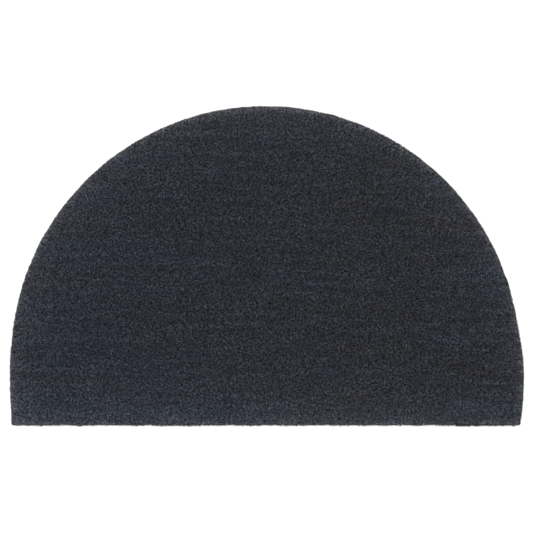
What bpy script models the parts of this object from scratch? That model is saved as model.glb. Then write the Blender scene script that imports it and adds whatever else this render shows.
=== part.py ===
"""Half-round coir doormat, lying flat on its underside.

One piece, cut from thick coir sheeting: a straight front edge, sides that swell a
little, and a round back. It has no binding, border or fringe, so the whole mat is one
solid that reaches as far as its pile does: out to the splayed fibres of the rim and up
to the tips.

Metres, +Z up. The straight edge faces -Y, the crown of the arc faces +Y, and the
origin is under the middle of the mat's box.
"""
import math

import bmesh
import bpy
from mathutils import Vector, noise
from mathutils.geometry import delaunay_2d_cdt

MM = 0.001

# Driving dimensions
DEPTH = 497 * MM
THICKNESS = 16 * MM
ARC_RADIUS = 396 * MM
CORNER_RADIUS = 2.5 * MM

# Half widths of the sides, from the arc's own centre line, by height above the
# straight edge. The row above these lies on the arc itself.
# height, left, right
SIDES = (
    (0 * MM, 395.5 * MM, 396.4 * MM),
    (25 * MM, 396.3 * MM, 399.5 * MM),
    (50 * MM, 398.0 * MM, 401.4 * MM),
    (75 * MM, 398.1 * MM, 402.1 * MM),
    (100 * MM, 398.1 * MM, 401.2 * MM),
    (125 * MM, 395.9 * MM, 397.9 * MM),
    (150 * MM, 393.0 * MM, 393.7 * MM),
)
ARC_START = 175 * MM

# Section of the rim, from the floor up: the pile leans out over its foot, is widest
# well up its side, and rounds off at the shoulder.
# inset from the outline, share of the thickness
RIM = (
    (1.6 * MM, 0.00),
    (0.7 * MM, 0.25),
    (0.0 * MM, 0.62),
    (0.4 * MM, 0.80),
    (1.4 * MM, 0.91),
    (3.4 * MM, 0.975),
    (8.0 * MM, 1.00),
)

# Steps along each stretch of the outline, about 9 mm each, and the points' spacing
# over the top
FRONT_STEPS = 88
CORNER_STEPS = 3
SIDE_STEPS = 18
ARC_STEPS = 120
TOP_STEP = 18 * MM

# Unevenness: the cut edge wanders a little, and the top is shorn slightly unevenly
EDGE_WANDER = 0.45 * MM
EDGE_PATCH = 28 * MM
TOP_DIP = 0.9 * MM
TOP_PATCH = 85 * MM

COIR_COLOUR = (0.028, 0.031, 0.039, 1.0)
COIR_ROUGHNESS = 0.95


def clear_scene():
    for thing in list(bpy.data.objects):
        bpy.data.objects.remove(thing, do_unlink=True)


def arc_half_width(height):
    """Half width of the arc's circle at a height above the straight edge."""
    rise = height - (DEPTH - ARC_RADIUS)
    return math.sqrt(ARC_RADIUS ** 2 - rise ** 2)


def smooth_between(before, start, end, after, share):
    """A smooth curve's value between two table values, steered by their neighbours."""
    slope_start = (end - before) / 2
    slope_end = (after - start) / 2
    turn = 2 * (start - end) + slope_start + slope_end
    lean = 3 * (end - start) - 2 * slope_start - slope_end
    return ((turn * share + lean) * share + slope_start) * share + start


def side_half_width(height, column):
    """Half width of one side, column 1 on the left and 2 on the right."""
    pitch = SIDES[1][0] - SIDES[0][0]
    values = [row[column] for row in SIDES]
    values += [arc_half_width(ARC_START), arc_half_width(ARC_START + pitch)]
    values.insert(0, 2 * values[0] - values[1])
    row = min(int(height / pitch), len(SIDES) - 1)
    return smooth_between(*values[row:row + 4], height / pitch - row)


def evenly(start, end, steps):
    """Values from start to end, both included."""
    return [start + (end - start) * i / steps for i in range(steps + 1)]


def corner(centre_x, centre_y, first_angle):
    """Points of a rounded quarter turn, its two ends left to the stretches beside it."""
    turn = evenly(first_angle, first_angle + math.pi / 2, CORNER_STEPS)
    return [on_circle(centre_x, centre_y, CORNER_RADIUS, angle) for angle in turn[1:-1]]


def on_circle(centre_x, centre_y, radius, angle):
    return Vector((centre_x + radius * math.cos(angle), centre_y + radius * math.sin(angle)))


def round_back(inset):
    """The arc, from the right-hand side to the left, its two ends left to the sides."""
    centre_y = DEPTH - ARC_RADIUS
    start = math.asin((ARC_START - centre_y) / ARC_RADIUS)
    angles = evenly(start, math.pi - start, ARC_STEPS)
    return [on_circle(0, centre_y, ARC_RADIUS - inset, angle) for angle in angles[1:-1]]


def outline(inset):
    """The mat's outline, drawn in by inset, anticlockwise from the front's left end."""
    left = SIDES[0][1] - inset - CORNER_RADIUS
    right = SIDES[0][2] - inset - CORNER_RADIUS
    low = inset + CORNER_RADIUS
    heights = evenly(low, ARC_START, SIDE_STEPS)
    points = [Vector((x, inset)) for x in evenly(-left, right, FRONT_STEPS)]
    points += corner(right, low, -math.pi / 2)
    points += [Vector((side_half_width(h, 2) - inset, h)) for h in heights]
    points += round_back(inset)
    points += [Vector((inset - side_half_width(h, 1), h)) for h in reversed(heights)]
    points += corner(-left, low, math.pi)
    return points


def inward_normals(points):
    """The direction into the mat at each point of an anticlockwise outline."""
    normals = []
    for i, point in enumerate(points):
        along = points[(i + 1) % len(points)] - points[i - 1]
        normals.append(Vector((-along.y, along.x)).normalized())
    return normals


def edge_wander():
    """How far the cut edge strays at each point, with the move that centres the mat."""
    points = outline(0)
    strays = []
    for point, inward in zip(points, inward_normals(points)):
        strays.append(inward * EDGE_WANDER * noise.noise((point / EDGE_PATCH).to_3d()))
    edge = [point + stray for point, stray in zip(points, strays)]
    lowest = Vector((min(p.x for p in edge), min(p.y for p in edge)))
    highest = Vector((max(p.x for p in edge), max(p.y for p in edge)))
    middle = (lowest + highest) / 2
    return [stray - middle for stray in strays]


def top_height(x, y):
    """Height of the shorn tips, never over the full thickness."""
    patch = noise.noise(Vector((x, y, 0)) / TOP_PATCH)
    return THICKNESS - TOP_DIP * (0.5 + 0.5 * patch)


def rim_ring(inset, share, strays):
    """One ring of the rim's section."""
    ring = []
    for point, stray in zip(outline(inset), strays):
        spot = point + stray
        ring.append(Vector((spot.x, spot.y, share * top_height(spot.x, spot.y))))
    return ring


def top_points(ring):
    """Staggered points over the top, clear of the innermost ring."""
    border = [point.to_2d() for point in ring]
    low_y = min(point.y for point in border)
    rows = int(DEPTH / (TOP_STEP * math.sqrt(3) / 2))
    points = []
    for row in range(1, rows + 1):
        y = low_y + row * TOP_STEP * math.sqrt(3) / 2
        crossings = sorted(crossing_xs(border, y))
        if len(crossings) != 2:
            continue
        left, right = crossings
        count = int((right - left) / TOP_STEP)
        margin = (right - left - (count - 1) * TOP_STEP) / 2
        shift = TOP_STEP / 4 * (1 if row % 2 else -1)
        points += [Vector((left + margin + shift + i * TOP_STEP, y)) for i in range(count)]
    return [point for point in points if clearance(point, border) > TOP_STEP / 3]


def crossing_xs(border, y):
    """Where a level line crosses a closed border."""
    xs = []
    for i, start in enumerate(border):
        end = border[(i + 1) % len(border)]
        if (start.y > y) != (end.y > y):
            xs.append(start.x + (end.x - start.x) * (y - start.y) / (end.y - start.y))
    return xs


def clearance(point, border):
    return min((point - other).length for other in border)


def build_mat():
    strays = edge_wander()
    mesh = bmesh.new()
    rings = [[mesh.verts.new(p) for p in rim_ring(*row, strays)] for row in RIM]
    mesh.faces.new(reversed(rings[0]))
    for lower, upper in zip(rings, rings[1:]):
        for i in range(len(strays)):
            after = (i + 1) % len(strays)
            mesh.faces.new((lower[i], lower[after], upper[after], upper[i]))

    shoulder = rings[-1]
    spots = [vert.co.to_2d() for vert in shoulder] + top_points([v.co for v in shoulder])
    whole_ring = [list(range(len(shoulder)))]
    inside_only = 1
    spots, _, triangles, *_ = delaunay_2d_cdt(spots, [], whole_ring, inside_only, 0.01 * MM)
    top = list(shoulder)
    for spot in spots[len(shoulder):]:
        top.append(mesh.verts.new((spot.x, spot.y, top_height(spot.x, spot.y))))
    for corners in triangles:
        mesh.faces.new([top[i] for i in corners])

    data = bpy.data.meshes.new("coir_mat")
    mesh.to_mesh(data)
    mesh.free()
    data.shade_smooth()
    data.set_sharp_from_angle(angle=math.radians(50))
    return data


def coir_material():
    material = bpy.data.materials.new("coir")
    material.use_nodes = True
    shader = material.node_tree.nodes["Principled BSDF"]
    shader.inputs["Base Color"].default_value = COIR_COLOUR
    shader.inputs["Roughness"].default_value = COIR_ROUGHNESS
    shader.inputs["Metallic"].default_value = 0.0
    return material


def main():
    clear_scene()
    data = build_mat()
    data.materials.append(coir_material())
    mat = bpy.data.objects.new("coir_mat", data)
    bpy.context.scene.collection.objects.link(mat)


main()
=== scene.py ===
"""The looks of the half-round coir doormat: its pile, fibre by fibre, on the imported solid.

The mat is built from the floor up: a thin carrier that the fibres stand in, a dense
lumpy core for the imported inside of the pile, tufts of leaning fibres all over the top,
and a curtain of standing fibres round the cut edge.
"""
import math

import bmesh
import bpy
import numpy as np
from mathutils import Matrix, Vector
from mathutils.bvhtree import BVHTree
from mathutils.geometry import delaunay_2d_cdt


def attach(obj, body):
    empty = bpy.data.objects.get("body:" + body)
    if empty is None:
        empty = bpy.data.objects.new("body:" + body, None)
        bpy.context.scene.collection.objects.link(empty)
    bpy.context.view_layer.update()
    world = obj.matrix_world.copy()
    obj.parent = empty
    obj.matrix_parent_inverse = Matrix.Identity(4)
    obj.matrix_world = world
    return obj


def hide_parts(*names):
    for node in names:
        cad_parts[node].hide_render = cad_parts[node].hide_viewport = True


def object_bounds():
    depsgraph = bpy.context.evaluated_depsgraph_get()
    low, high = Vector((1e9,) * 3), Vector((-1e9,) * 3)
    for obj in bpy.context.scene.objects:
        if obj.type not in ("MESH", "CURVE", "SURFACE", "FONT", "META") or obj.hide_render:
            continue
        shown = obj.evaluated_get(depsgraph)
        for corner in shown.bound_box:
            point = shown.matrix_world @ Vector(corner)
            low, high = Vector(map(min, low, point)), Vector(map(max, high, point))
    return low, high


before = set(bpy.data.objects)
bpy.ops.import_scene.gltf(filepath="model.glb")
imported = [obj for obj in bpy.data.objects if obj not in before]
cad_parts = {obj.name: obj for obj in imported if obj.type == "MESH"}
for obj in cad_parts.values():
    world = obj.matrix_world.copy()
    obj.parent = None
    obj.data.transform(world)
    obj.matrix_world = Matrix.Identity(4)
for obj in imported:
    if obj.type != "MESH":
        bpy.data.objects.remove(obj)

MM = 0.001
SEED = 7
NODE = "coir_mat"
CAD_LOW, CAD_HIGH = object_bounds()
TIPS = CAD_HIGH.z

# Small lengths: kept free at the solid's edge, merged, counted as one point, as none
SAFE = 0.05 * MM
MERGED = 0.01 * MM
ONE_POINT = 0.001 * MM
NOTHING = 1e-9

# A height well above the mat
OVERHEAD = 1.0

# The photograph's frame, seen straight down, and the mat's middle in its pixels
PHOTO_PIXELS = 533
PIXEL = 1.558 * MM
MAT_MIDDLE = (266.85, 265.9)
LENS = 100.0
SENSOR = 36.0

# Build of the mat; its outline is taken where the solid is widest
WIDEST = 0.62
CARRIER_THICKNESS = 1.6 * MM
CARRIER_INSET = 2.2 * MM
CARRIER_STEP = 6 * MM
CORE_INSET = 2.6 * MM
CORE_STEP = 3.2 * MM
CORE_GAP = 0.6
CORE_DEPTH = 4.2 * MM
CORE_RELIEF = 2.0 * MM
CORE_MIDDLE = 0.5

# Tufts: a few fibres side by side, leaning together; twice as many stand near the edge
TUFT_PITCH = 3.25 * MM
TUFT_STRAY = 0.18
TUFT_RADIUS = 0.3 * MM
TUFT_LEAN = 0.75
TUFT_SWAY = 0.2
TUFT_MARGIN = 1.2 * MM
DENSE_ZONE = 10 * MM
DENSE_OFFSET = (0.5, 0.3)

# Their fibres, with the spread of widths and heights about the usual ones
TUFT_FIBRES = 9
FIBRE_WIDTH = 0.7 * MM
FIBRE_WIDTHS = (0.6, 1.25)
FIBRE_HEIGHT = 5.5 * MM
FIBRE_HEIGHTS = (0.8, 1.1)
FIBRE_STRAY = 0.15
FIBRE_ROLL = 0.5
FIBRE_TAPER = (1.0, 0.5)
ROOT_MARGIN = 1.4 * MM

# How far the tips stand below the shorn top, by row, tuft and fibre
ROW_DROP = 0.7 * MM
TUFT_DROP = 0.33 * MM
FIBRE_DROP = 0.25 * MM

# Spread of the shades by row (painted light on the proud rows, painted shade in the low
# ones), tuft and fibre, and how far a fibre may stray in all
ROW_PAINTED_SHADE = 0.09
TUFT_SHADE = 0.17
FIBRE_SHADE = 0.28
TAIL = 5
SHADES = (0.25, 2.2)

# Slow unevenness is a sum of waves, of these lengths as shares of a patch
WAVE_COUNT = 6
WAVE_LENGTHS = (0.7, 1.5)

# Rows that bend and fade, and lumps in the core: strength, size of a patch, seed
ROW_PITCH = 17 * MM
ROW_STRENGTH = 0.6
ROW_BEND = (2.0, 160 * MM, 5)
ROW_FADE = (0.5, 120 * MM, 17)
CORE_LUMPS = (0.35, 7 * MM, 3)
CORE_WAVES = 10

# Towards the cut edge, by the distance in: lean out, painted light for the lit sides of the
# splayed fibres, unevenness of the shades
EDGE_SPLAY = (
    (0 * MM, 0.35, 0.84, 1.0),
    (2 * MM, 0.32, 1.0, 0.95),
    (3.6 * MM, 0.28, 1.95, 0.78),
    (5.5 * MM, 0.24, 1.3, 0.82),
    (8 * MM, 0.18, 1.2, 0.84),
    (11 * MM, 0.14, 1.58, 0.78),
    (23 * MM, 0.06, 1.43, 0.92),
    (47 * MM, 0.02, 1.19, 0.97),
    (93 * MM, 0.0, 1.03, 0.98),
    (140 * MM, 0.0, 1.0, 0.98),
)

# How near to the edge its fibres are held inside it, and its bulges apply
EDGE_ZONE = 10 * MM

# That painted light is weaker at the right-hand edge: distance in, how much weaker
RIGHT_PAINTED_LIGHT_DIM = ((3.5 * MM, 0.1), (7 * MM, 0.3))

# The front's left corner gets more painted light
CORNER_PAINTED_LIGHT = 0.46
CORNER_REACH = 120 * MM

# The round back gets more painted light at its very edge: distance in, painted light added
BACK_PAINTED_LIGHT = ((4 * MM, 0.38), (9 * MM, 0.0))

# The last of the pile before the edge is mixed towards a lighter grey: partly painted light
# on the lit tips of its splayed fibres, partly wear
LIT_AND_WORN_DEPTH = 14 * MM
LIT_AND_WORN_MOST = 0.6
LIT_AND_WORN_CURVE = 1.5

# Bluer coir to the left, less towards the back and the edge, and at the front: place, share
LEFT_BLUE = ((-320 * MM, 0.12), (120 * MM, 0.0))
BACK_SHARE = ((-120 * MM, 1.0), (120 * MM, 0.6))
FRONT_BLUE = ((-235 * MM, 0.035), (-200 * MM, 0.0))
LEFT_EDGE_GREY = ((15 * MM, 0.06), (75 * MM, 0.0))

# A ring round the mat is moved to its distance in from the edge in a few rounds
RING_ROUNDS = 3

# The rim's curtain of fibres: rings one behind the other, in locks of a few fibres
RIM_STEP = 0.36 * MM
RIM_DEPTH = 4.5 * MM
RIM_LAYERS = 5
RIM_LOCK = 7
RIM_LOOSE = 0.5
RIM_SCATTER = 0.18 * MM
RIM_DRIFT = 0.9 * MM
RIM_DROP = 0.7 * MM
RIM_SHADE = 0.32
RIM_LIT_AND_WORN_SPREAD = (0.6, 1.2)
RIM_WIDTH = 0.45 * MM
RIM_WIDTHS = (0.7, 1.4)
RIM_TAPER = (0.9, 1.0, 0.6)

# Its fibres stand on a foot drawn in under the edge, bend at the knee and hang over
FOOT_HEIGHT = 0.3 * MM
FOOT_INSET = 1.5 * MM
KNEE_HEIGHT = 0.55
KNEE_INSET = 0.35 * MM
KNEE_DRIFT = 0.45
TIP_OVERHANG = 0.8 * MM
TIP_SWAY = 0.8

# The cut's unevenness: locks and loose fibres out of line, more so to the left and front
CUT_STRAY = 0.26 * MM
CUT_LOOSE = 0.3
CUT_ROUGHER = (-0.7, -1.0)

# Its slow wander: strength, size of a patch, seed
CUT_WANDER = ((0.16 * MM, 10 * MM, 0), (0.2 * MM, 30 * MM, 1))

# Stretches of the front that bulge out of line: from x, to x, how far
FRONT_BULGES = (
    (-176 * MM, -97 * MM, 0.9 * MM),
    (290 * MM, 358 * MM, 1.3 * MM),
)
BULGE_RAMP = 9 * MM

# The pile is split into bands from left to right
BANDS = 5

# The bake map: seen from above a little aslant, within a border
MAP_SLANT = (0.35, 0.2)
MAP_SPAN = 1.04
MAP_BORDER = 0.01

# Dyed coir and the lighter grey of the edge's tips, partly painted light and partly wear, and
# the painted shade that rises from root to tip
NAVY = (0.0463, 0.0531, 0.0708, 1)
CHARCOAL = (0.0480, 0.0495, 0.0572, 1)
LIT_AND_WORN_GREY = (0.12, 0.121, 0.127, 1)
PAINTED_ROOT_SHADE = 0.35
PAINTED_SHADE_AT_TIP = 1.05
FULL_REACH = 0.8
PILE_ROUGHNESS = 0.7
CORE_ROUGHNESS = 0.9
DULL = 0.04

# Streaks of navy in the charcoal: features per metre along x, y and z, detail, share
BLUE_STREAKS = (
    ((4, 24, 1), 4, 0.44),
    ((11, 150, 1), 2, 0.28),
    ((75, 110, 1), 1, 0.28),
)
BLUE_RANGE = (0.43, 0.60)

# Patches of shade in the same terms, and the range of noise that is used
PATCHES = (9, 90, 0)
PATCH_SHADES = (0.84, 1.16)
NOISE_RANGE = (0.3, 0.7)

# Grain of the hidden and plain things: features per metre, and shades
CORE_GRAIN = (300, 300, 300)
# The core's grain is dark: painted shade in the gaps between the tufts
CORE_GRAIN_AND_PAINTED_SHADE = (0.10, 0.60)
CARRIER_BLACK = (0.016, 0.016, 0.018, 1)
CARRIER_GRAIN = (400, 400, 400)
CARRIER_SHADES = (0.6, 1.2)
CARRIER_ROUGHNESS = 0.8
FLOOR_WHITE = (0.92, 0.92, 0.92, 1)
FLOOR_GRAIN = (3, 3, 3)
FLOOR_SHADES = (0.97, 1.0)
FLOOR_ROUGHNESS = 0.9
FLOOR_HALF = 6.0
FLOOR_HEIGHT = -0.2 * MM

# A white tent, brighter at its walls, with one broad lamp nearly overhead
WHITE = (1, 1, 1, 1)
TENT_WALL = 2.0
TENT_TOP = 1.0
KEY_PLACE = (-0.35, 0.5, 3.0)
KEY_SIZE = 1.2
KEY_POWER = 42

rng = np.random.default_rng(SEED)


def solid_section(height):
    """The solid's outline at a height, as an anticlockwise ring of points in plan."""
    mesh = bmesh.new()
    mesh.from_mesh(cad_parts[NODE].data)
    bmesh.ops.remove_doubles(mesh, verts=mesh.verts, dist=MERGED)
    everything = [*mesh.verts, *mesh.edges, *mesh.faces]
    cut = bmesh.ops.bisect_plane(
        mesh, geom=everything, plane_co=(0, 0, height), plane_no=(0, 0, 1)
    )["geom_cut"]
    edges = {item for item in cut if isinstance(item, bmesh.types.BMEdge)}
    edge = min(edges, key=lambda e: e.verts[0].co.x)
    vert = edge.verts[0]
    ring = []
    while edge is not None:
        edges.discard(edge)
        vert = edge.other_vert(vert)
        ring.append(vert.co.to_2d())
        edge = next((e for e in vert.link_edges if e in edges), None)
    mesh.free()
    ring = np.array(ring)
    return ring if signed_area(ring) > 0 else ring[::-1]


def signed_area(ring):
    """Area inside a ring of points, above zero if it runs anticlockwise."""
    after = np.roll(ring, -1, axis=0)
    return (ring[:, 0] * after[:, 1] - after[:, 0] * ring[:, 1]).sum() / 2


def solid_tree():
    mesh = bmesh.new()
    mesh.from_mesh(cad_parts[NODE].data)
    tree = BVHTree.FromBMesh(mesh)
    mesh.free()
    return tree


OUTLINE = solid_section(WIDEST * TIPS)
SOLID = solid_tree()


def from_edge(points):
    """How far in from the outline each point lies, and the way out from it."""
    distance = np.full(len(points), np.inf)
    way = np.zeros((len(points), 2))
    inside = np.zeros(len(points), bool)
    for start, end in zip(OUTLINE, np.roll(OUTLINE, -1, axis=0)):
        step = end - start
        share = np.clip((points - start) @ step / (step @ step), 0, 1)
        gap = start + share[:, None] * step - points
        length = np.hypot(gap[:, 0], gap[:, 1])
        nearer = length < distance
        distance[nearer] = length[nearer]
        way[nearer] = gap[nearer]
        if start[1] != end[1]:
            spans = (start[1] > points[:, 1]) != (end[1] > points[:, 1])
            crossing = start[0] + step[0] * (points[:, 1] - start[1]) / step[1]
            inside ^= spans & (points[:, 0] < crossing)
    way /= np.maximum(distance, NOTHING)[:, None]
    distance[~inside] *= -1
    way[~inside] *= -1
    return distance, way


def moved_in(plan, margin):
    """Points in plan, moved in where they must to lie a margin inside the edge."""
    distance, way = from_edge(plan)
    return plan + way * np.minimum(distance - margin, 0)[:, None]


def pile_top(points):
    """Height of the solid's top over each point in plan."""
    down = Vector((0, 0, -1))
    heights = np.zeros(len(points))
    for i, (x, y) in enumerate(points):
        hit = SOLID.ray_cast(Vector((x, y, OVERHEAD)), down)[0]
        heights[i] = hit.z if hit is not None else WIDEST * TIPS
    return heights


def waves(points, strength, patch, seed, count=WAVE_COUNT):
    """Smooth seeded unevenness for points in plan, up to about a strength either way."""
    draw = np.random.default_rng(seed)
    total = np.zeros(len(points))
    for _ in range(count):
        angle = draw.uniform(0, math.tau)
        length = patch * draw.uniform(*WAVE_LENGTHS)
        along = points @ np.array([math.cos(angle), math.sin(angle)])
        total += np.sin(math.tau * along / length + draw.uniform(0, math.tau))
    return strength * total / math.sqrt(count)


def ring_around(inset, step):
    """The outline drawn in by inset, resampled about a step apart."""
    closed = np.vstack([OUTLINE, OUTLINE[:1]])
    lengths = np.hypot(*np.diff(closed, axis=0).T)
    along = np.concatenate([[0], np.cumsum(lengths)])
    spots = np.linspace(0, along[-1], round(along[-1] / step), endpoint=False)
    ring = np.column_stack([np.interp(spots, along, closed[:, i]) for i in range(2)])
    for _ in range(RING_ROUNDS):
        distance, way = from_edge(ring)
        ahead = np.roll(ring, -1, axis=0) - np.roll(ring, 1, axis=0)
        inward = np.column_stack([-ahead[:, 1], ahead[:, 0]])
        inward /= np.hypot(*inward.T)[:, None]
        ring = ring + inward * (inset - distance)[:, None]
    return ring


def lattice(pitch):
    """Staggered points all over the mat's box."""
    rise = pitch * math.sqrt(3) / 2
    columns = np.arange(CAD_LOW.x, CAD_HIGH.x + pitch, pitch)
    rows = np.arange(CAD_LOW.y, CAD_HIGH.y + rise, rise)
    points = [np.column_stack([columns + (i % 2) * pitch / 2, np.full(len(columns), y)])
              for i, y in enumerate(rows)]
    return np.vstack(points)


def around(angle):
    return np.column_stack([np.cos(angle), np.sin(angle)])


def read_off(places, table):
    """The table's values at places, straight between its rows and level beyond them."""
    steps, values = zip(*table)
    return np.interp(places, steps, values)


def edge_splay(distance):
    """Lean out, painted light and unevenness at a distance in from the edge."""
    steps, *columns = zip(*EDGE_SPLAY)
    return [np.interp(distance, steps, column) for column in columns]


def looks_at(plan):
    """Painted light, the edge's lighter grey of painted light and wear, and blueness of the
    pile at points in plan.
    """
    distance, way = from_edge(plan)
    # Painted light towards the edge, weaker at the right, more at the front's left corner and
    # the back's very edge
    _, light, _ = edge_splay(distance)
    dim = read_off(distance, RIGHT_PAINTED_LIGHT_DIM) * np.clip(way[:, 0], 0, 1)
    light = 1 + (light - 1) * (1 - dim)
    gap = np.hypot(plan[:, 0] - CAD_LOW.x, plan[:, 1] - CAD_LOW.y)
    light *= 1 + CORNER_PAINTED_LIGHT * np.clip(1 - gap / CORNER_REACH, 0, 1) ** 2
    light *= 1 + read_off(distance, BACK_PAINTED_LIGHT) * np.clip(way[:, 1], 0, 1) ** 2
    # The edge's lighter grey: partly painted light on the lit tips, partly wear
    worn = LIT_AND_WORN_MOST * np.clip(1 - distance / LIT_AND_WORN_DEPTH, 0, 1) ** LIT_AND_WORN_CURVE
    blue = read_off(plan[:, 0], LEFT_BLUE) * read_off(plan[:, 1], BACK_SHARE)
    blue += read_off(plan[:, 1], FRONT_BLUE)
    blue -= read_off(distance, LEFT_EDGE_GREY) * np.clip(-way[:, 0], 0, 1)
    return {"light": light, "worn": worn, "blue": blue}


def plan_uv(points):
    """Where points go on the bake map."""
    slanted = points[:, :2] + points[:, 2:3] * np.array(MAP_SLANT)
    span = MAP_SPAN * (CAD_HIGH.x - CAD_LOW.x)
    return (slanted - np.array([CAD_LOW.x, CAD_LOW.y])) / span + MAP_BORDER


def add_map(mesh, points, loops):
    uvs = mesh.uv_layers.new(name="OFBake")
    uvs.uv.foreach_set("vector", plan_uv(points)[loops].ravel().astype(np.float32))


def add_values(mesh, **values):
    for name, numbers in values.items():
        layer = mesh.attributes.new(name, "FLOAT", "POINT")
        layer.data.foreach_set("value", np.ascontiguousarray(numbers, np.float32))


def finish_mesh(name, mesh, material):
    obj = bpy.data.objects.new(name, mesh)
    bpy.context.scene.collection.objects.link(obj)
    mesh.materials.append(material)
    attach(obj, "root")
    return obj


def fibre_mesh(name, joints, side, taper, shade, looks, material):
    """One joined mesh of ribbons, each a chain of quads from joint to joint.

    The edge's painted light, and its lighter grey of painted light and wear, grow from
    nothing at the root to all of it at the tip.
    """
    ends = [[joint - share * side, joint + share * side]
            for joint, share in zip(joints, taper)]
    count, stops = len(side), len(joints)
    points = np.array(ends).transpose(2, 0, 1, 3).reshape(-1, 3)
    links = 2 * np.arange(stops - 1)[:, None] + np.array([0, 1, 3, 2])
    loops = (2 * stops * np.arange(count)[:, None] + links.ravel()).ravel()

    mesh = bpy.data.meshes.new(name)
    mesh.vertices.add(len(points))
    mesh.vertices.foreach_set("co", points.ravel().astype(np.float32))
    mesh.loops.add(len(loops))
    mesh.loops.foreach_set("vertex_index", loops.astype(np.int32))
    mesh.polygons.add(len(loops) // 4)
    mesh.polygons.foreach_set("loop_start", np.arange(0, len(loops), 4, dtype=np.int32))
    mesh.update(calc_edges=True)
    add_map(mesh, points, loops)

    reach = np.repeat(np.linspace(0, 1, stops), 2)
    # Painted light of the edge, from nothing at the root to all of it at the tip
    painted_light_gain = 1 + (looks["light"][:, None] - 1) * reach ** 2
    add_values(
        mesh,
        reach=np.tile(reach, count),
        shade=(shade[:, None] * painted_light_gain).ravel(),
        worn=(looks["worn"][:, None] * reach ** 2).ravel(),
        blue=np.repeat(looks["blue"], len(reach)),
    )
    return finish_mesh(name, mesh, material)


def tuft_centres():
    """Tufts, a little out of step, over the whole top and twice as dense at its edge."""
    points = lattice(TUFT_PITCH)
    between = points + np.array(DENSE_OFFSET) * TUFT_PITCH
    distance, _ = from_edge(between)
    points = np.vstack([points, between[distance < DENSE_ZONE]])
    points += rng.normal(0, TUFT_STRAY * TUFT_PITCH, points.shape)
    distance, _ = from_edge(points)
    return points[distance > TUFT_MARGIN]


def row_waves(tufts):
    """The pile's rows, from -1 in the low ones to 1 in the proud ones, fainter in places."""
    phase = math.tau * tufts[:, 1] / ROW_PITCH + waves(tufts, *ROW_BEND)
    return np.sin(phase) * np.clip(ROW_STRENGTH + waves(tufts, *ROW_FADE), 0, 1)


def build_tufts(material):
    """The top of the pile: tufts of leaning fibres, in bands from left to right."""
    tufts = tuft_centres()
    count = len(tufts)
    distance, way = from_edge(tufts)
    splay, _, uneven = edge_splay(distance)
    lean = TUFT_LEAN * around(rng.uniform(0, math.tau, count))
    lean += rng.normal(0, TUFT_SWAY, (count, 2)) + splay[:, None] * way
    rows = row_waves(tufts)
    drop = ROW_DROP * (1 - rows) / 2 + abs(rng.normal(0, TUFT_DROP, count))
    top = pile_top(tufts) - drop
    # Rows: painted light on the proud ones, painted shade in the low ones, and random tone by
    # tuft
    tone = 1 + ROW_PAINTED_SHADE * rows + uneven * TUFT_SHADE * rng.standard_t(TAIL, count)

    tuft = np.repeat(np.arange(count), TUFT_FIBRES)
    count = len(tuft)
    plan = tufts[tuft] + rng.normal(0, TUFT_RADIUS, (count, 2))
    height = top[tuft]
    near = np.flatnonzero(distance[tuft] < EDGE_ZONE)
    plan[near] = moved_in(plan[near], SAFE)
    height[near] = np.minimum(height[near], pile_top(plan[near]))
    height -= abs(rng.normal(0, FIBRE_DROP, count))
    tips = np.column_stack([plan, height])
    slope = lean[tuft] + rng.normal(0, FIBRE_STRAY, (count, 2))
    tall = FIBRE_HEIGHT * rng.uniform(*FIBRE_HEIGHTS, count)
    roots = tips - tall[:, None] * np.column_stack([slope, np.ones(count)])
    roots[near, :2] = moved_in(roots[near, :2], ROOT_MARGIN)
    across = np.arctan2(slope[:, 1], slope[:, 0]) + math.pi / 2
    roll = rng.normal(0, FIBRE_ROLL, count)
    side = np.column_stack([np.cos(roll)[:, None] * around(across), np.sin(roll)])
    side *= FIBRE_WIDTH / 2 * rng.uniform(*FIBRE_WIDTHS, count)[:, None]
    tone = tone[tuft] + uneven[tuft] * rng.normal(0, FIBRE_SHADE, count)
    shade = np.clip(tone, *SHADES)

    looks = looks_at(tufts)
    borders = np.quantile(tufts[:, 0], np.linspace(0, 1, BANDS + 1)[1:-1])
    band = np.searchsorted(borders, tufts[tuft, 0])
    pieces = []
    for i in range(BANDS):
        mine = band == i
        my_looks = {name: values[tuft[mine]] for name, values in looks.items()}
        pieces.append(fibre_mesh(
            f"pile_tufts_{i + 1}", (roots[mine], tips[mine]), side[mine],
            FIBRE_TAPER, shade[mine], my_looks, material
        ))
    return pieces


def front_bulge(plan):
    """How far the cut bulges out of line at points in plan, along the front."""
    reach = np.zeros(len(plan))
    for start, end, most in FRONT_BULGES:
        into = np.minimum(plan[:, 0] - start, end - plan[:, 0]) / BULGE_RAMP
        reach += most * np.clip(into, 0, 1)
    return reach * (plan[:, 1] < CAD_LOW.y + EDGE_ZONE)


def lock_noise(lock, loose):
    """Unevenness that a lock's fibres share, plus a loose bit of each fibre's own."""
    return rng.normal(0, 1, lock[-1] + 1)[lock] + rng.normal(0, loose, len(lock))


def cut_sway(plan, way, lock):
    """How far out of line the rim's fibres stand, over the bends of the cut."""
    sway = CUT_STRAY * lock_noise(lock, CUT_LOOSE)
    for patchwork in CUT_WANDER:
        sway += waves(plan, *patchwork)
    return sway * (1 + np.clip(way @ CUT_ROUGHER, 0, 1)) + front_bulge(plan)


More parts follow.
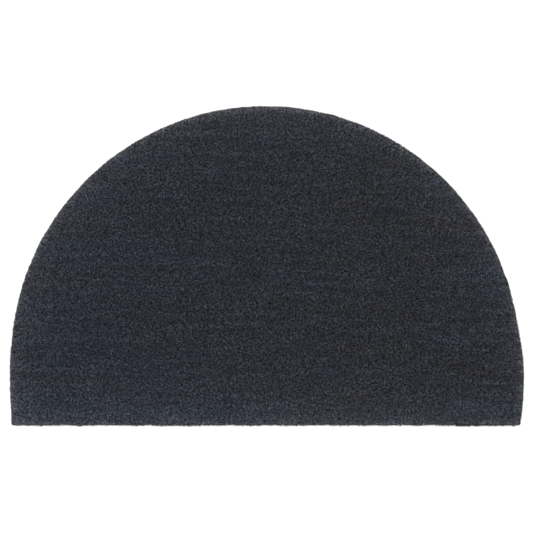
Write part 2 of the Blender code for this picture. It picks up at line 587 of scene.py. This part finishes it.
def build_rim(material):
    """The curtain of fibres that stands round the cut edge, a few layers deep."""
    rings = [ring_around(layer * RIM_DEPTH / RIM_LAYERS, RIM_STEP)
             for layer in range(RIM_LAYERS)]
    plan = np.vstack(rings)
    plan += rng.normal(0, RIM_SCATTER, plan.shape)
    count = len(plan)
    lock = np.arange(count) // RIM_LOCK
    locks = lock[-1] + 1
    distance, way = from_edge(plan)
    along = np.column_stack([-way[:, 1], way[:, 0]])

    height = pile_top(moved_in(plan, SAFE)) - abs(RIM_DROP * lock_noise(lock, RIM_LOOSE))
    slide = RIM_DRIFT * lock_noise(lock, RIM_LOOSE)
    sway = cut_sway(plan, way, lock)
    foot = plan - FOOT_INSET * way + slide[:, None] * along
    knee = plan + (sway - KNEE_INSET)[:, None] * way + KNEE_DRIFT * slide[:, None] * along
    tip = plan + (TIP_OVERHANG + TIP_SWAY * sway)[:, None] * way
    joints = (
        np.column_stack([foot, np.full(count, FOOT_HEIGHT)]),
        np.column_stack([knee, KNEE_HEIGHT * height]),
        np.column_stack([tip, height]),
    )
    facing = rng.uniform(0, math.tau, count)
    side = np.column_stack([around(facing), np.zeros(count)])
    side *= RIM_WIDTH / 2 * rng.uniform(*RIM_WIDTHS, count)[:, None]

    _, _, uneven = edge_splay(distance)
    tone = rng.normal(0, RIM_SHADE, locks)[lock] + rng.normal(0, FIBRE_SHADE, count)
    shade = np.clip(1 + uneven * tone, *SHADES)
    looks = looks_at(plan)
    # Each lock takes more or less of that lighter grey of painted light and wear
    looks["worn"] *= rng.uniform(*RIM_LIT_AND_WORN_SPREAD, locks)[lock]
    return fibre_mesh("pile_rim", joints, side, RIM_TAPER, shade, looks, material)


def build_core(material):
    """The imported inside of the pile: lumps under the tufts, closed all round."""
    ring = ring_around(CORE_INSET, CORE_STEP)
    inner = lattice(CORE_STEP)
    distance, _ = from_edge(inner)
    inner = inner[distance > CORE_INSET + CORE_GAP * CORE_STEP]
    spots = [Vector(p) for p in np.vstack([ring, inner])]
    whole_ring = [list(range(len(ring)))]
    inside_only = 1
    flat, _, faces, *_ = delaunay_2d_cdt(spots, [], whole_ring, inside_only, ONE_POINT)
    plan = np.array([p[:] for p in flat])
    relief = CORE_RELIEF * (CORE_MIDDLE - waves(plan, *CORE_LUMPS, count=CORE_WAVES))
    top = pile_top(plan) - CORE_DEPTH - relief
    count = len(ring)
    foot = np.column_stack([plan[:count], np.full(count, CARRIER_THICKNESS / 2)])
    points = np.vstack([np.column_stack([plan, top]), foot])
    base = len(plan)
    sides = [(i, base + i, base + (i + 1) % count, (i + 1) % count) for i in range(count)]
    floor = [tuple(base + i for i in reversed(range(count)))]

    mesh = bpy.data.meshes.new("pile_core")
    mesh.from_pydata(points.tolist(), [], [*faces, *sides, *floor])
    mesh.update()
    loops = np.zeros(len(mesh.loops), np.int32)
    mesh.loops.foreach_get("vertex_index", loops)
    add_map(mesh, points, loops)
    looks = looks_at(points[:, :2])
    # The core's shade is the edge's painted light
    add_values(mesh, shade=looks["light"], blue=looks["blue"])
    mesh.shade_smooth()
    return finish_mesh("pile_core", mesh, material)


def build_carrier(material):
    """The thin closed sheet that the fibres stand in, flat on the floor."""
    ring = ring_around(CARRIER_INSET, CARRIER_STEP)
    mesh = bmesh.new()
    low = [mesh.verts.new((x, y, 0)) for x, y in ring]
    high = [mesh.verts.new((x, y, CARRIER_THICKNESS)) for x, y in ring]
    mesh.faces.new(reversed(low))
    mesh.faces.new(high)
    for i in range(len(ring)):
        after = (i + 1) % len(ring)
        mesh.faces.new((low[i], low[after], high[after], high[i]))
    data = bpy.data.meshes.new("mat_carrier")
    mesh.to_mesh(data)
    mesh.free()
    return finish_mesh("mat_carrier", data, material)


def shader_of(name, roughness):
    material = bpy.data.materials.new(name)
    material.use_nodes = True
    shader = material.node_tree.nodes["Principled BSDF"]
    shader.inputs["Roughness"].default_value = roughness
    return material, material.node_tree, shader


def math_node(tree, operation, first, second):
    node = tree.nodes.new("ShaderNodeMath")
    node.operation = operation
    for socket, value in zip(node.inputs, (first, second)):
        if isinstance(value, (int, float)):
            socket.default_value = value
        else:
            tree.links.new(value, socket)
    return node.outputs[0]


def noise_node(tree, features, detail=2):
    """Noise over the mat's own coordinates, in features per metre along x, y and z."""
    place = tree.nodes.new("ShaderNodeTexCoord")
    mapping = tree.nodes.new("ShaderNodeMapping")
    mapping.inputs["Scale"].default_value = features
    noise = tree.nodes.new("ShaderNodeTexNoise")
    noise.inputs["Scale"].default_value = 1
    noise.inputs["Detail"].default_value = detail
    tree.links.new(place.outputs["Object"], mapping.inputs["Vector"])
    tree.links.new(mapping.outputs["Vector"], noise.inputs["Vector"])
    return noise.outputs["Fac"]


def ramp_node(tree, value, low, high, start, end):
    """Value from low to high, mapped to start to end and held there."""
    node = tree.nodes.new("ShaderNodeMapRange")
    node.inputs["From Min"].default_value = low
    node.inputs["From Max"].default_value = high
    node.inputs["To Min"].default_value = start
    node.inputs["To Max"].default_value = end
    tree.links.new(value, node.inputs["Value"])
    return node.outputs["Result"]


def value_of(tree, name):
    node = tree.nodes.new("ShaderNodeAttribute")
    node.attribute_name = name
    return node.outputs["Fac"]


def grain_node(tree, features, shades):
    return ramp_node(tree, noise_node(tree, features), *NOISE_RANGE, *shades)


def mixed_colour(tree, share, first, second):
    mix = tree.nodes.new("ShaderNodeMix")
    mix.data_type = "RGBA"
    tree.links.new(share, mix.inputs["Factor"])
    for side, colour in (("A", first), ("B", second)):
        if isinstance(colour, tuple):
            mix.inputs[side].default_value = colour
        else:
            tree.links.new(colour, mix.inputs[side])
    return mix.outputs["Result"]


def scaled_colour(tree, colour, factor):
    node = tree.nodes.new("ShaderNodeVectorMath")
    node.operation = "SCALE"
    if isinstance(colour, tuple):
        node.inputs[0].default_value = colour[:3]
    else:
        tree.links.new(colour, node.inputs[0])
    tree.links.new(factor, node.inputs["Scale"])
    return node.outputs[0]


def coir_colour(tree):
    """Dyed coir: navy and charcoal in broad and fine streaks."""
    streaks = value_of(tree, "blue")
    for features, detail, share in BLUE_STREAKS:
        streak = math_node(tree, "MULTIPLY", noise_node(tree, features, detail), share)
        streaks = math_node(tree, "ADD", streaks, streak)
    blueness = ramp_node(tree, streaks, *BLUE_RANGE, 0.0, 1.0)
    return mixed_colour(tree, blueness, CHARCOAL, NAVY)


def fibre_material():
    """Painted shade, dark at the root and lighter at the tip, where the edge's fibres take a
    lighter grey, partly painted light and partly wear.
    """
    material, tree, shader = shader_of("coir_fibre", PILE_ROUGHNESS)
    # Painted shade along each fibre: dark at the root, full at the tip
    reach = ramp_node(tree, value_of(tree, "reach"), 0.0, FULL_REACH, PAINTED_ROOT_SHADE, PAINTED_SHADE_AT_TIP)
    colour = mixed_colour(tree, value_of(tree, "worn"), coir_colour(tree), LIT_AND_WORN_GREY)
    factor = math_node(tree, "MULTIPLY", value_of(tree, "shade"), reach)
    patches = grain_node(tree, PATCHES, PATCH_SHADES)
    factor = math_node(tree, "MULTIPLY", factor, patches)
    tree.links.new(scaled_colour(tree, colour, factor), shader.inputs["Base Color"])
    shader.inputs["Specular IOR Level"].default_value = DULL
    return material


def core_material():
    material, tree, shader = shader_of("coir_packed", CORE_ROUGHNESS)
    # Dark grain as painted shade in the gaps, times the edge's painted light
    grain = grain_node(tree, CORE_GRAIN, CORE_GRAIN_AND_PAINTED_SHADE)
    grain = math_node(tree, "MULTIPLY", grain, value_of(tree, "shade"))
    tree.links.new(scaled_colour(tree, coir_colour(tree), grain), shader.inputs["Base Color"])
    shader.inputs["Specular IOR Level"].default_value = DULL
    return material


def plain_material(name, colour, roughness, features, shades):
    material, tree, shader = shader_of(name, roughness)
    grain = grain_node(tree, features, shades)
    tree.links.new(scaled_colour(tree, colour, grain), shader.inputs["Base Color"])
    return material


def build_floor():
    mesh = bpy.data.meshes.new("studio_floor")
    corners = [(x * FLOOR_HALF, y * FLOOR_HALF, FLOOR_HEIGHT)
               for x, y in ((-1, -1), (1, -1), (1, 1), (-1, 1))]
    mesh.from_pydata(corners, [], [(0, 1, 2, 3)])
    mesh.materials.append(plain_material(
        "studio_floor", FLOOR_WHITE, FLOOR_ROUGHNESS, FLOOR_GRAIN, FLOOR_SHADES
    ))
    floor = bpy.data.objects.new("studio_floor", mesh)
    bpy.context.scene.collection.objects.link(floor)


def area_light(name, place, size, power):
    data = bpy.data.lights.new(name, "AREA")
    data.shape = "DISK"
    data.size = size
    data.energy = power
    light = bpy.data.objects.new(name, data)
    light.location = place
    light.rotation_euler = (-Vector(place)).to_track_quat("-Z", "Y").to_euler()
    light.visible_camera = False
    bpy.context.scene.collection.objects.link(light)


def build_lights():
    world = bpy.data.worlds.new("studio")
    world.use_nodes = True
    tree = world.node_tree
    place = tree.nodes.new("ShaderNodeTexCoord")
    split = tree.nodes.new("ShaderNodeSeparateXYZ")
    tree.links.new(place.outputs["Generated"], split.inputs[0])
    strength = ramp_node(tree, split.outputs["Z"], 0.0, 1.0, TENT_WALL, TENT_TOP)
    sky = tree.nodes["Background"]
    sky.inputs["Color"].default_value = WHITE
    tree.links.new(strength, sky.inputs["Strength"])
    bpy.context.scene.world = world
    area_light("key", KEY_PLACE, KEY_SIZE, KEY_POWER)


def build_camera():
    data = bpy.data.cameras.new("photo_camera")
    data.lens = LENS
    data.sensor_width = SENSOR
    camera = bpy.data.objects.new("photo_camera", data)
    distance = PHOTO_PIXELS * PIXEL * LENS / SENSOR
    middle = PHOTO_PIXELS / 2
    camera.location = (
        (middle - MAT_MIDDLE[0]) * PIXEL,
        (MAT_MIDDLE[1] - middle) * PIXEL,
        WIDEST * TIPS + distance,
    )
    bpy.context.scene.collection.objects.link(camera)
    bpy.context.scene.camera = camera
    bpy.context.scene.view_settings.view_transform = "Standard"


def main():
    build_camera()
    build_lights()
    build_floor()
    fibre = fibre_material()
    core = build_core(core_material())
    pile = [core, build_rim(fibre), *build_tufts(fibre)]
    carrier = build_carrier(plain_material(
        "carrier_black", CARRIER_BLACK, CARRIER_ROUGHNESS, CARRIER_GRAIN, CARRIER_SHADES
    ))
    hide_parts(NODE)


main()
